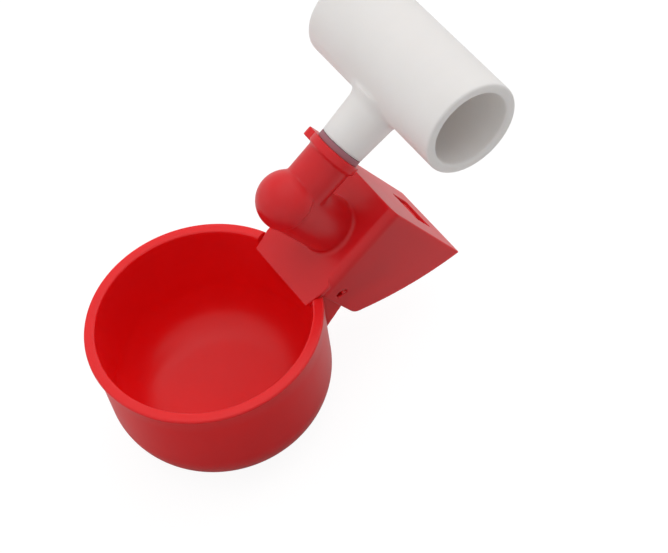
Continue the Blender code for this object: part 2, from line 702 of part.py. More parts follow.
def build_spring(parts, steel):
    """A helix with a closed turn at each end, standing on the tail."""
    curve = bpy.data.curves.new("balance_spring", "CURVE")
    curve.dimensions = "3D"
    curve.bevel_depth = SPRING_WIRE_RADIUS
    curve.bevel_resolution = SPRING_WIRE_STEPS
    curve.use_fill_caps = True
    low = TAIL_TOP_Z + FIT_GAP + SPRING_WIRE_RADIUS
    high = SPRING_TOP_Z - FIT_GAP - SPRING_WIRE_RADIUS
    closed_rise = SPRING_CLOSED_PITCH * SPRING_WIRE_RADIUS
    open_turns = SPRING_TURNS - 2
    spline = curve.splines.new("POLY")
    spline.points.add(SPRING_TURNS * SPRING_STEPS_A_TURN)
    for index, point in enumerate(spline.points):
        turn = index / SPRING_STEPS_A_TURN
        angle = 2 * math.pi * turn
        open_share = min(max((turn - 1) / open_turns, 0), 1)
        closed_turns = min(turn, 1) + max(turn - 1 - open_turns, 0)
        height = low + closed_rise * closed_turns + (high - low - 2 * closed_rise) * open_share
        point.co = (SPRING_RADIUS * math.cos(angle), SPRING_Y + SPRING_RADIUS * math.sin(angle), height, 1)
    spring = place(curve_to_mesh("balance_spring", curve), parts)
    spring.data.materials.append(steel)
    return spring


def build_seal(parts, frame, rubber):
    low = SEAL_GAP
    high = low + SEAL_THICKNESS
    profile = [(NECK_BORE_RADIUS, high), (STUB_RADIUS, high), (STUB_RADIUS, low), (NECK_BORE_RADIUS, low)]
    seal = place(turned("neck_seal", profile, ROUND_STEPS, closed=True), parts, frame,
                 (0, NECK_END, NECK_HEIGHT), ALONG_NECK)
    seal.data.materials.append(rubber)
    return seal


def tee_run_profile():
    """The run's wall, from the bore out over one end and back over the other."""
    end = TEE_HALF_LENGTH
    step = end - SOCKET_DEPTH
    upper = [(TEE_BORE_RADIUS, step), (SOCKET_RADIUS, step + SOCKET_SEAT_CHAMFER), (SOCKET_RADIUS, end - TEE_EDGE),
             (SOCKET_RADIUS + TEE_EDGE, end), (TEE_RADIUS - TEE_EDGE, end), (TEE_RADIUS, end - TEE_EDGE)]
    lower = [(radius, -height) for radius, height in reversed(upper)]
    return upper + lower


def stub_profile(length):
    """The stub and its spigot, from inside the run's wall down to the spigot's end."""
    hidden = length - (TEE_BORE_RADIUS + TEE_RADIUS) / 2
    flare_start = length - TEE_RADIUS - STUB_FLARE_START
    flare_rise = STUB_FLARE + STUB_FLARE_START
    points = [(0, hidden), (STUB_ROOT_RADIUS + STUB_FLARE, hidden)]
    for step in range(1, ARC_STEPS):
        share = 1 - step / (ARC_STEPS - 1)
        points.append((STUB_ROOT_RADIUS + STUB_FLARE * share ** 2, flare_start + flare_rise * share))
    spigot_radius = NECK_BORE_RADIUS - FIT_GAP
    points += [(STUB_RADIUS, 0), (spigot_radius, 0), (spigot_radius, SPIGOT_CHAMFER - SPIGOT_LENGTH),
               (spigot_radius - SPIGOT_CHAMFER, -SPIGOT_LENGTH), (0, -SPIGOT_LENGTH)]
    return points


def build_tee(parts, tools, frame, white):
    stub_start = NECK_END + 2 * SEAL_GAP + SEAL_THICKNESS
    length = TEE_PLACE - stub_start
    tee = place(turned("tee_fitting", tee_run_profile(), BOWL_STEPS, closed=True), parts, frame,
                (0, TEE_PLACE, NECK_HEIGHT), ALONG_X)
    tee.data.materials.append(white)
    stub = as_tool(place(turned("stub", stub_profile(length)), tools, frame, (0, stub_start, NECK_HEIGHT),
                         ALONG_NECK))
    bore_profile = cylinder_profile(STUB_BORE_RADIUS, -2 * SPIGOT_LENGTH, length)
    stub_bore = as_tool(place(turned("stub_bore", bore_profile, SMALL_STEPS), tools, frame,
                              (0, stub_start, NECK_HEIGHT), ALONG_NECK))
    boolean(tee, stub, "UNION")
    boolean(tee, stub_bore, "DIFFERENCE")
    return tee


def main():
    clear_scene()
    parts = make_collection("Automatic drinking bowl")
    tools = make_collection("Cutters and joined shapes")
    red = make_material("red_plastic", (0.52, 0.012, 0.016), 0.35)
    white = make_material("white_pvc", (0.80, 0.79, 0.77), 0.45)
    acetal = make_material("white_acetal", (0.78, 0.78, 0.72), 0.40)
    steel = make_material("spring_steel", (0.60, 0.60, 0.60), 0.30, 1.0)
    rubber = make_material("rubber", (0.25, 0.14, 0.14), 0.70)

    hinge = make_empty("bowl_hinge", parts, (0, HINGE_Y, HINGE_Z))
    frame = make_empty("hood_frame", parts, (0, TIP_Y, TIP_Z), (ROOF_SLOPE, 0, 0))
    build_bowl(parts, tools, hinge, red)
    build_pad(parts, hinge, rubber)
    build_hood(parts, tools, frame, red)
    build_nozzle(parts, frame, acetal)
    build_spring(parts, steel)
    build_seal(parts, frame, rubber)
    build_tee(parts, tools, frame, white)


main()
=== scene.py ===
"""Looks of the automatic drinking bowl: smooth moulded shapes, materials, light and camera."""

import math

import bmesh
import bpy
import numpy as np
from mathutils import Matrix, Vector


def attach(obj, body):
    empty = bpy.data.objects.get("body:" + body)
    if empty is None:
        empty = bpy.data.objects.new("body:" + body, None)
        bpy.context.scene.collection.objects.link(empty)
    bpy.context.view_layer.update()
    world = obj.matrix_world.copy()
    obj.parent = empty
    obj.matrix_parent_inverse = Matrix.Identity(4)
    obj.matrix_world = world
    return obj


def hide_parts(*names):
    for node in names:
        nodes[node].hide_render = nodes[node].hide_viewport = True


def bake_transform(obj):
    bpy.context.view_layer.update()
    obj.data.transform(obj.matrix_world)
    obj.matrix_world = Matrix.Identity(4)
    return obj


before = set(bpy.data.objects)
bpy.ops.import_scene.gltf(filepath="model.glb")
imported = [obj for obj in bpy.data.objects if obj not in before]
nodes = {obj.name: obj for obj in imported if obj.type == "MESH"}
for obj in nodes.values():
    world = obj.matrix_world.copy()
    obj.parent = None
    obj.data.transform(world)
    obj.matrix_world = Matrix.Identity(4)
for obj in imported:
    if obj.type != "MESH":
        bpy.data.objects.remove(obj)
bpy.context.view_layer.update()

# Bowl, in metres, as in the model
RIM_RADIUS = 0.0400
RIM_WIDTH = 0.0037
LIP_HEIGHT = 0.0016
BOWL_HEIGHT = 0.0486
BOWL_WALL = 0.0030
BOWL_FLOOR = 0.0026
BOWL_DRAFT = 0.0008
BOWL_CORNER_RADIUS = 0.0205
WALL_SET_BACK = 0.0006
# The inner floor is slightly dished: its corner is higher and its middle lower than in the model
DISH_RISE = 0.0012
DISH_DIP = 0.0004
# The rim's rounded edges, the rise of its middle and the small step below its lip
RIM_EDGE_RADIUS = 0.0007
RIM_CROWN = 0.00005
LIP_EDGE_RADIUS = 0.0003
LIP_STEP = 0.0001
# Shares of the wall's height that get a ring of points
WALL_SHARES = (0.25, 0.5, 0.75)
# The rim is cut away round the tongue and the cheeks, with this much room
RIM_CLEARANCE = 0.0005
RIM_CUT_END = 0.05
RIM_CUT_HEIGHT = 0.01
# The bowl's wall is open to the tray behind it
THROAT_HALF_WIDTH = 0.0100
THROAT_DROP = 0.0150
THROAT_CORNER_RADIUS = 0.0030
THROAT_TOP = 0.08
THROAT_DEPTH = 0.02

# Hood
ROOF_SLOPE = math.radians(29.0)
TIP_Y = 0.0300
TIP_Z = 0.0461
TONGUE_TIP_WIDTH = 0.0306
TONGUE_CORNER_RADIUS = 0.0006
TONGUE_FLARE_END = 0.0072
TONGUE_SQUARE_END = 0.0100
TONGUE_SIDE_GAP = 0.0001
HOOD_WIDTH = 0.0340
HOOD_LENGTH = 0.0430
HOOD_DEPTH = 0.0460
HOOD_WALL = 0.0016
HOOD_EDGE_RADIUS = 0.0035
CHEEK_START = 0.0062
CHEEK_FRONT_DEPTH = 0.0233
CHEEK_CORNER_RADIUS = 0.0050
CHEEK_BOW = 0.0019
BOW_STEPS = 12
# The side outline reaches above the roof by this much before the roof's section trims it
OUTLINE_EXCESS = 0.002
BARREL_RADIUS = 0.0102
BARREL_WALL = 0.0020
BARREL_PLACE = 0.0240
BARREL_SKIRT = 0.0030
BARREL_BORE_REACH = 0.02
DOME_CENTRE_HEIGHT = 0.0256
# The dome stands out from the barrel below it by this much
DOME_STEP = 0.00045
NECK_HEIGHT = 0.0232
NECK_RADIUS = 0.0082
NECK_DRAFT = 0.0003
NECK_BORE_RADIUS = 0.0064
NECK_END = 0.0468
COLLAR_RADIUS = 0.0092
COLLAR_LENGTH = 0.0028
EAR_REACH = 0.0128
EAR_WIDTH = 0.0070
EAR_THICKNESS = 0.0033
EAR_DROP = 0.0006
EAR_CORNER_RADIUS = 0.0015
BOSS_RADIUS = 0.0033
BOSS_LENGTH = 0.0108
# The window in the back plate leaves this much room below and above the tail
WINDOW_HALF_WIDTH = 0.0072
WINDOW_CORNER_RADIUS = 0.0008
WINDOW_ROOM_BELOW = 0.0034
WINDOW_ROOM_ABOVE = 0.0004

# Hinge, tray and tail
HINGE_Y = 0.0441295
HINGE_Z = 0.0432989
BOWL_TRAVEL = math.radians(3.5)
PEG_RADIUS = 0.0009
PEG_START = 0.014
PEG_END_GAP = 0.00015
SLOT_RADIUS = 0.0011
SLOT_LENGTH = 0.0040
TRAY_WALL = 0.0018
TRAY_HALF_WIDTH = 0.0149
TRAY_FLOOR_DROP = 0.0106
TRAY_RISE = math.radians(42.0)
TRAY_KNEE = 0.0034
TRAY_EDGE_DROP = 0.0012
TRAY_CORNER_CUT = 0.0030
TRAY_SPRING_GAP = 0.0007
TAIL_WIDTH = 0.0100
TAIL_CORNER_RADIUS = 0.002
TAIL_TOP = BOWL_HEIGHT - TRAY_FLOOR_DROP + TRAY_WALL
# How far the tail starts in front of the spring, and how far it ends inside the plate's outer face
TAIL_LEAD = 0.0043
TAIL_GAP = 0.0006
# The tray ends where the bowl's wall is: a core of this shape is taken out of it
CORE_TOP = 0.09
CORE_KNEE_HEIGHT = 0.02
CORE_BOTTOM = 0.001

# Points of the pad this near to its lowest one belong to its lower face
PAD_FACE_DEPTH = 0.0001
# Cup for the valve pad, and the post that carries it
CUP_INNER_RADIUS = 0.0041
CUP_OUTER_RADIUS = 0.0053
CUP_HEIGHT = 0.0014
CUP_SEAT = 0.0003
CUP_DEPTH = 0.0015
CUP_EDGE = 0.0002
POST_DROP = 0.0009
POST_HALF_LENGTH = 0.0038
POST_WIDTH = 0.005

# Spring, with a spigot for it on the tail and on the boss
SPRING_RADIUS = 0.0030
SPRING_WIRE_RADIUS = 0.0003
SPRING_OUTSIDE = SPRING_RADIUS + SPRING_WIRE_RADIUS
SPRING_TOP_Z = 0.0558
SPRING_BACK_GAP = 0.0016
SPRING_END_GAP = 0.00005
SPRING_TURNS = 7
SPRING_STEPS_A_TURN = 32
SPRING_WIRE_DETAIL = 4
SPRING_CLOSED_PITCH = 2.2
SPRING_SPIGOT_RADIUS = 0.0018
SPRING_SPIGOT_LENGTH = 0.0025
SPRING_SPIGOT_EDGE = 0.0003
SPRING_SPIGOT_ROOT = 0.001

# Tee
TEE_RADIUS = 0.0169
TEE_HALF_LENGTH = 0.0333
TEE_PLACE = 0.0816
TEE_EDGE_RADIUS = 0.0008
TEE_BORE_RADIUS = 0.0117
SOCKET_RADIUS = 0.0134
SOCKET_DEPTH = 0.0215
SOCKET_SEAT = 0.0005
SOCKET_LEAD_IN = 0.0006
STUB_RADIUS = 0.0080
STUB_ROOT_RADIUS = 0.0089
STUB_BORE_RADIUS = 0.0042
STUB_BORE_REACH = 0.024
STUB_START = 0.0489
STUB_FLARE = 0.0028
STUB_FLARE_LENGTH = 0.0048
STUB_FLARE_START = 0.002
STUB_FLARE_STEPS = 12
SPIGOT_RADIUS = 0.0061
SPIGOT_LENGTH = 0.0120
SPIGOT_CHAMFER = 0.0005

# The strips where two shapes meet are smoothed, up to JOINT_REACH of these widths from both shapes
ROOF_JOINT_WIDTH = 0.0016
NECK_JOINT_WIDTH = 0.0012
TEE_JOINT_WIDTH = 0.0030
JOINT_REACH = 1.3
# Each round of smoothing moves a vertex this share of the way to the middle of its neighbours
RELAX_SHARE = 0.5

# A profile's point with a radius below this lies on its axis
ON_AXIS = 1e-7
# Edges sharper than this many degrees stay sharp on the bowl and on the spring
BOWL_SHARP_ANGLE = 38
SPRING_SHARP_ANGLE = 50

COS = math.cos(ROOF_SLOPE)
SIN = math.sin(ROOF_SLOPE)
HOOD_FRAME = Matrix.Translation((0, TIP_Y, TIP_Z)) @ Matrix.Rotation(ROOF_SLOPE, 4, "X")
SIDEWAYS = Matrix.Rotation(math.pi / 2, 4, "Z") @ Matrix.Rotation(math.pi / 2, 4, "X")
UPRIGHT = Matrix.Rotation(math.pi / 2, 4, "X")
ALONG_X = Matrix.Rotation(math.pi / 2, 4, "Y")
ALONG_NECK = Matrix.Rotation(-math.pi / 2, 4, "X")


def at(x, y, z):
    return Matrix.Translation((x, y, z))


def arc(centre, radius, start, end, steps):
    """Points on a circle from one angle to another, both in degrees."""
    points = []
    for step in range(steps + 1):
        angle = math.radians(start + (end - start) * step / steps)
        points.append((centre[0] + radius * math.cos(angle), centre[1] + radius * math.sin(angle)))
    return points


def rounded(corners, steps=6):
    """Outline points of a polygon whose corners (x, y, radius) are rounded."""
    points = []
    count = len(corners)
    for index, (x, y, radius) in enumerate(corners):
        if radius == 0:
            points.append((x, y))
            continue
        before = corners[index - 1]
        after = corners[(index + 1) % count]
        angle_in = math.atan2(before[1] - y, before[0] - x)
        angle_out = math.atan2(after[1] - y, after[0] - x)
        half = math.remainder(angle_out - angle_in, 2 * math.pi) / 2
        middle = angle_in + half
        reach = radius / math.sin(abs(half))
        centre = (x + reach * math.cos(middle), y + reach * math.sin(middle))
        spread = math.degrees(math.pi / 2 - abs(half)) * (-1 if half < 0 else 1)
        start = math.degrees(middle) + 180
        points += arc(centre, radius, start + spread, start - spread, steps)
    return points


def new_piece(name, mesh):
    item = bpy.data.objects.new(name, mesh)
    bpy.context.scene.collection.objects.link(item)
    return item


def built(name, work):
    """A new object from a finished bmesh, with its faces turned outward."""
    bmesh.ops.recalc_face_normals(work, faces=work.faces)
    mesh = bpy.data.meshes.new(name)
    work.to_mesh(mesh)
    work.free()
    return new_piece(name, mesh)


def revolve(name, profile, matrix, steps, closed=False):
    """A solid of revolution about local Z from points (radius, height) or (radius, height, shift along Y)."""
    work = bmesh.new()
    rings = []
    for point in profile:
        radius, height = point[:2]
        shift = point[2] if len(point) > 2 else 0.0
        if radius < ON_AXIS:
            rings.append([work.verts.new((0, shift, height))])
            continue
        ring = []
        for step in range(steps):
            angle = 2 * math.pi * (step + 0.5) / steps
            ring.append(work.verts.new((radius * math.cos(angle), shift + radius * math.sin(angle), height)))
        rings.append(ring)
    pairs = list(zip(rings, rings[1:]))
    if closed:
        pairs.append((rings[-1], rings[0]))
    for first, second in pairs:
        for step in range(steps):
            after = (step + 1) % steps
            if len(first) == 1:
                work.faces.new((first[0], second[step], second[after]))
            elif len(second) == 1:
                work.faces.new((first[step], second[0], first[after]))
            else:
                work.faces.new((first[step], second[step], second[after], first[after]))
    bmesh.ops.transform(work, matrix=matrix, verts=work.verts)
    return built(name, work)


def prism(name, outline, depth, matrix):
    """A flat outline in local XY, as thick as depth along local Z."""
    work = bmesh.new()
    low = [work.verts.new((x, y, -depth / 2)) for x, y in outline]
    high = [work.verts.new((x, y, depth / 2)) for x, y in outline]
    work.faces.new(low)
    work.faces.new(high)
    for index in range(len(outline)):
        after = (index + 1) % len(outline)
        work.faces.new((low[index], low[after], high[after], high[index]))
    bmesh.ops.transform(work, matrix=matrix, verts=work.verts)
    bmesh.ops.triangulate(work, faces=[face for face in work.faces if len(face.verts) > 4])
    return built(name, work)


def settle(item):
    """Applies an object's modifiers."""
    depsgraph = bpy.context.evaluated_depsgraph_get()
    mesh = bpy.data.meshes.new_from_object(item.evaluated_get(depsgraph))
    item.modifiers.clear()
    item.data = mesh


def carve(item, *work):
    """Joins or cuts an object with others, in order, and removes them."""
    for operation, tool in work:
        modifier = item.modifiers.new(operation, "BOOLEAN")
        modifier.operation = operation
        modifier.solver = "EXACT"
        modifier.object = tool
    settle(item)
    for operation, tool in work:
        bpy.data.objects.remove(tool, do_unlink=True)


def relax(mesh, times, weights=None):
    """Rounds edges by moving vertices towards the middle of their neighbours, as far as weights allow."""
    count = len(mesh.vertices)
    places = np.empty(count * 3)
    mesh.vertices.foreach_get("co", places)
    places = places.reshape(count, 3)
    ends = np.empty(len(mesh.edges) * 2, dtype=np.int64)
    mesh.edges.foreach_get("vertices", ends)
    ends = ends.reshape(-1, 2)
    first = np.concatenate([ends[:, 0], ends[:, 1]])
    second = np.concatenate([ends[:, 1], ends[:, 0]])
    valence = np.bincount(first, minlength=count)
    strength = np.full(count, RELAX_SHARE) if weights is None else RELAX_SHARE * weights(places)
    for _ in range(times):
        middle = np.column_stack([np.bincount(first, places[second, axis], count) for axis in range(3)])
        places = places + strength[:, None] * (middle / valence[:, None] - places)
    mesh.vertices.foreach_set("co", places.reshape(-1))
    mesh.update()


def mould(item, voxel, times, keep, joints=()):
    """Turns a sharp solid into a moulded one, with its edges rounded and its joints filleted."""
    remesh = item.modifiers.new("Remesh", "REMESH")
    remesh.mode = "VOXEL"
    remesh.voxel_size = voxel
    settle(item)
    for joint, rounds in joints:
        relax(item.data, rounds, joint)
    relax(item.data, times)
    thin = item.modifiers.new("Thin", "DECIMATE")
    thin.ratio = keep
    settle(item)


def smooth(item, angle=None):
    """Smooth shading, with edges above an angle in degrees kept sharp."""
    mesh = item.data
    mesh.polygons.foreach_set("use_smooth", [True] * len(mesh.polygons))
    if angle is not None:
        mesh.set_sharp_from_angle(angle=math.radians(angle))
    mesh.update()


def paint(item, material):
    item.data.materials.clear()
    item.data.materials.append(material)


def dress(item, material, body, node):
    paint(item, material)
    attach(item, body)
    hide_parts(node)


def near(distance, width):
    """One near a surface, falling to nothing at 1.3 widths from it."""
    return np.clip(JOINT_REACH - np.abs(distance) / width, 0, 1)


def hood_places(places):
    """Places sideways, along the roof and above it."""
    y = places[:, 1] - TIP_Y
    z = places[:, 2] - TIP_Z
    return places[:, 0], y * COS + z * SIN, -y * SIN + z * COS


def barrel_distance(side, along, above):
    """How far places are from the barrel and its dome; negative inside."""
    up = np.maximum(above - DOME_CENTRE_HEIGHT, 0)
    return np.sqrt(side ** 2 + (along - BARREL_PLACE) ** 2 + up ** 2) - BARREL_RADIUS


def roof_joint(places):
    side, along, above = hood_places(places)
    barrel = barrel_distance(side, along, above)
    return near(barrel, ROOF_JOINT_WIDTH) * near(above, ROOF_JOINT_WIDTH)


def neck_joint(places):
    side, along, above = hood_places(places)
    barrel = barrel_distance(side, along, above)
    neck = np.hypot(side, above - NECK_HEIGHT) - NECK_RADIUS
    return near(barrel, NECK_JOINT_WIDTH) * near(neck, NECK_JOINT_WIDTH) * (along > BARREL_PLACE)


def tee_joint(places):
    side, along, above = hood_places(places)
    run = np.hypot(along - TEE_PLACE, above - NECK_HEIGHT) - TEE_RADIUS
    stub = np.hypot(side, above - NECK_HEIGHT) - STUB_ROOT_RADIUS
    return near(run, TEE_JOINT_WIDTH) * near(stub, TEE_JOINT_WIDTH) * (along < TEE_PLACE)


def bowl_profile():
    """Inside from the axis to the rim, then down the outside to the axis."""
    inner_top = RIM_RADIUS - RIM_WIDTH
    inner_low = inner_top - BOWL_DRAFT
    inner_corner = BOWL_CORNER_RADIUS - BOWL_FLOOR
    corner_place = inner_low - inner_corner
    corner_height = BOWL_CORNER_RADIUS + DISH_RISE
    edge_height = BOWL_HEIGHT - RIM_EDGE_RADIUS
    sag = DISH_RISE + DISH_DIP
    reach = (corner_place ** 2 / sag + sag) / 2
    dish_radius = reach + inner_corner
    tilt = math.degrees(math.atan2(corner_place, reach - sag))
    points = arc((0, BOWL_FLOOR - DISH_DIP + dish_radius), dish_radius, -90, tilt - 90, steps=12)
    points += arc((corner_place, corner_height), inner_corner, tilt - 90, 0, steps=28)
    points += [(inner_low + BOWL_DRAFT * share, corner_height + (edge_height - corner_height) * share)
               for share in WALL_SHARES]
    points += arc((inner_top + RIM_EDGE_RADIUS, edge_height), RIM_EDGE_RADIUS, 180, 90, steps=6)
    points.append((RIM_RADIUS - RIM_WIDTH / 2, BOWL_HEIGHT + RIM_CROWN))
    points += arc((RIM_RADIUS - RIM_EDGE_RADIUS, edge_height), RIM_EDGE_RADIUS, 90, 0, steps=6)
    lip_edge = (RIM_RADIUS - LIP_EDGE_RADIUS, BOWL_HEIGHT - LIP_HEIGHT + LIP_EDGE_RADIUS)
    points += arc(lip_edge, LIP_EDGE_RADIUS, 0, -90, steps=3)
    outer_top = inner_top + BOWL_WALL
    outer_low = outer_top - BOWL_DRAFT
    outer_place = outer_low - BOWL_CORNER_RADIUS
    under = BOWL_HEIGHT - LIP_HEIGHT - LIP_STEP
    side = [(outer_top + LIP_STEP, under), (outer_top, under - LIP_EDGE_RADIUS)]
    side += [(outer_low + BOWL_DRAFT * share, BOWL_CORNER_RADIUS + (under - BOWL_CORNER_RADIUS) * share)
             for share in reversed(WALL_SHARES)]
    side += arc((outer_place, BOWL_CORNER_RADIUS), BOWL_CORNER_RADIUS, 0, -90, steps=28)
    side += [(outer_place / 2, 0), (0, 0)]
    return ([(radius, height, 0.0) for radius, height in points]
            + [(radius, height, WALL_SET_BACK) for radius, height in side])


def make_bowl():
    bowl = revolve("bowl_shell", bowl_profile(), Matrix.Identity(4), steps=256)
    tip_half = TONGUE_TIP_WIDTH / 2 + RIM_CLEARANCE
    tip_y = TIP_Y - RIM_CLEARANCE
    cheek_half = HOOD_WIDTH / 2 + RIM_CLEARANCE
    cheek_y = TIP_Y + CHEEK_START * COS - RIM_CLEARANCE
    gap_outline = [(tip_half, tip_y), (cheek_half, cheek_y), (cheek_half, RIM_CUT_END),
                   (-cheek_half, RIM_CUT_END), (-cheek_half, cheek_y), (-tip_half, tip_y)]
    gap = prism("gap", gap_outline, RIM_CUT_HEIGHT, at(0, 0, TIP_Z - HOOD_WALL + RIM_CUT_HEIGHT / 2))
    throat_low = BOWL_HEIGHT - THROAT_DROP
    throat_outline = rounded([(-THROAT_HALF_WIDTH, throat_low, THROAT_CORNER_RADIUS),
                              (THROAT_HALF_WIDTH, throat_low, THROAT_CORNER_RADIUS),
                              (THROAT_HALF_WIDTH, THROAT_TOP, 0), (-THROAT_HALF_WIDTH, THROAT_TOP, 0)])
    throat = prism("throat", throat_outline, THROAT_DEPTH, at(0, RIM_RADIUS, 0) @ UPRIGHT)
    carve(bowl, ("DIFFERENCE", gap), ("DIFFERENCE", throat))
    smooth(bowl, BOWL_SHARP_ANGLE)
    return bowl


def plate_y(along, z):
    """Where a plane square to the roof, so far along it, is at a height."""
    return TIP_Y + along / COS - (z - TIP_Z) * SIN / COS


def spring_place():
    return plate_y(HOOD_LENGTH - HOOD_WALL, SPRING_TOP_Z) - SPRING_OUTSIDE - SPRING_BACK_GAP


def tail_end():
    return plate_y(HOOD_LENGTH, TAIL_TOP - TRAY_WALL / 2) - TAIL_GAP


def tray_outline(inset):
    """The tray from the side, or its hollow when there is an inset."""
    floor_z = BOWL_HEIGHT - TRAY_FLOOR_DROP + inset
    knee_y = HINGE_Y + TRAY_KNEE - inset * math.tan(TRAY_RISE / 2)
    start_y = RIM_RADIUS - RIM_WIDTH - BOWL_WALL
    start_z = floor_z - (knee_y - start_y) * math.tan(TRAY_RISE)
    end_y = spring_place() - SPRING_OUTSIDE - TRAY_SPRING_GAP - inset
    if inset > 0:
        above = 2 * BOWL_HEIGHT
        return [(start_y, start_z), (knee_y, floor_z), (end_y, floor_z), (end_y, above), (start_y, above)]
    top_z = BOWL_HEIGHT - TRAY_EDGE_DROP
    front_z = TIP_Z - HOOD_WALL
    return [(start_y, start_z), (knee_y, floor_z), (end_y, floor_z), (end_y, top_z - TRAY_CORNER_CUT),
            (end_y - TRAY_CORNER_CUT, top_z), (HINGE_Y, top_z), (RIM_RADIUS - RIM_WIDTH, front_z),
            (start_y, front_z)]


def make_cup():
    """The cup that holds the valve pad's lower face, and the post from it down to the tail."""
    pad = nodes["valve_pad"].data
    places = np.array([vertex.co[:] for vertex in pad.vertices])
    tilt = ROOF_SLOPE - BOWL_TRAVEL
    axis = np.array([0, -math.sin(tilt), math.cos(tilt)])
    heights = places @ axis
    base = places[heights < heights.min() + PAD_FACE_DEPTH].mean(axis=0)
    profile = [(0, -CUP_SEAT), (CUP_INNER_RADIUS, -CUP_SEAT), (CUP_INNER_RADIUS, CUP_HEIGHT - CUP_EDGE),
               (CUP_INNER_RADIUS + CUP_EDGE, CUP_HEIGHT), (CUP_OUTER_RADIUS - CUP_EDGE, CUP_HEIGHT),
               (CUP_OUTER_RADIUS, CUP_HEIGHT - CUP_EDGE), (CUP_OUTER_RADIUS, -CUP_DEPTH), (0, -CUP_DEPTH)]
    cup = revolve("cup", profile, at(*base) @ Matrix.Rotation(tilt, 4, "X"), steps=96)
    below = Vector(base) - Vector(axis) * POST_DROP
    half_y = POST_HALF_LENGTH * math.cos(tilt)
    half_z = POST_HALF_LENGTH * math.sin(tilt)
    foot = TAIL_TOP - TRAY_WALL / 2
    side = [(below.y - half_y, below.z - half_z), (below.y - half_y, foot), (below.y + half_y, foot),
            (below.y + half_y, below.z + half_z)]
    return cup, prism("post", side, POST_WIDTH, SIDEWAYS)


def make_tray():
    tray = prism("tray", tray_outline(0), 2 * TRAY_HALF_WIDTH, SIDEWAYS)
    hollow = prism("tray_hollow", tray_outline(TRAY_WALL), 2 * (TRAY_HALF_WIDTH - TRAY_WALL), SIDEWAYS)
    middle = RIM_RADIUS - RIM_WIDTH + BOWL_WALL / 2
    core_profile = [(0, CORE_TOP), (middle, CORE_TOP), (middle, BOWL_HEIGHT),
                    (middle - BOWL_DRAFT, CORE_KNEE_HEIGHT), (0, CORE_BOTTOM)]
    core = revolve("core", core_profile, Matrix.Identity(4), steps=128)
    carve(tray, ("DIFFERENCE", hollow), ("DIFFERENCE", core))
    start = spring_place() - SPRING_OUTSIDE - TAIL_LEAD
    half = TAIL_WIDTH / 2
    tail_outline = rounded([(-half, start, 0), (half, start, 0), (half, tail_end(), TAIL_CORNER_RADIUS),
                            (-half, tail_end(), TAIL_CORNER_RADIUS)])
    tail = prism("tail", tail_outline, TRAY_WALL, at(0, 0, TAIL_TOP - TRAY_WALL / 2))
    spigot_profile = [(0, SPRING_SPIGOT_LENGTH),
                      (SPRING_SPIGOT_RADIUS - SPRING_SPIGOT_EDGE, SPRING_SPIGOT_LENGTH),
                      (SPRING_SPIGOT_RADIUS, SPRING_SPIGOT_LENGTH - SPRING_SPIGOT_EDGE),
                      (SPRING_SPIGOT_RADIUS, -SPRING_SPIGOT_ROOT), (0, -SPRING_SPIGOT_ROOT)]
    spigot = revolve("spigot", spigot_profile, at(0, spring_place(), TAIL_TOP), steps=48)
    peg_end = HOOD_WIDTH / 2 - PEG_END_GAP
    peg_profile = [(0, peg_end), (PEG_RADIUS, peg_end), (PEG_RADIUS, PEG_START), (0, PEG_START)]
    pegs = [revolve("peg", peg_profile, at(0, HINGE_Y, HINGE_Z) @ Matrix.Rotation(turn, 4, "Y"), steps=48)
            for turn in (math.pi / 2, -math.pi / 2)]
    cup, post = make_cup()
    carve(tray, ("UNION", tail), ("UNION", spigot), ("UNION", pegs[0]), ("UNION", pegs[1]), ("UNION", post),
          ("UNION", cup))
    mould(tray, voxel=0.00028, times=3, keep=0.3)
    smooth(tray)
    return tray


def make_spring():
    """A helix with a closed turn at each end, from the tail to the boss, and the heights of its ends."""
    low = TAIL_TOP + SPRING_END_GAP + SPRING_WIRE_RADIUS
    high = SPRING_TOP_Z - SPRING_END_GAP - SPRING_WIRE_RADIUS
    closed_rise = SPRING_CLOSED_PITCH * SPRING_WIRE_RADIUS
    open_rise = high - low - 2 * closed_rise
    open_turns = SPRING_TURNS - 2
    curve = bpy.data.curves.new("wire", "CURVE")
    curve.dimensions = "3D"
    curve.bevel_depth = SPRING_WIRE_RADIUS
    curve.bevel_resolution = SPRING_WIRE_DETAIL
    curve.use_fill_caps = True
    spline = curve.splines.new("POLY")
    spline.points.add(SPRING_TURNS * SPRING_STEPS_A_TURN)
    for index, point in enumerate(spline.points):
        turn = index / SPRING_STEPS_A_TURN
        angle = 2 * math.pi * turn
        open_share = min(max((turn - 1) / open_turns, 0), 1)
        closed_turns = min(turn, 1) + max(turn - 1 - open_turns, 0)
        height = low + closed_rise * closed_turns + open_rise * open_share
        side = SPRING_RADIUS * math.cos(angle)
        point.co = (side, spring_place() + SPRING_RADIUS * math.sin(angle), height, 1)
    wire = new_piece("wire", curve)
    depsgraph = bpy.context.evaluated_depsgraph_get()
    spring = new_piece("spring", bpy.data.meshes.new_from_object(wire.evaluated_get(depsgraph)))
    bpy.data.objects.remove(wire, do_unlink=True)
    smooth(spring, SPRING_SHARP_ANGLE)
    return spring, low - SPRING_WIRE_RADIUS, high + SPRING_WIRE_RADIUS


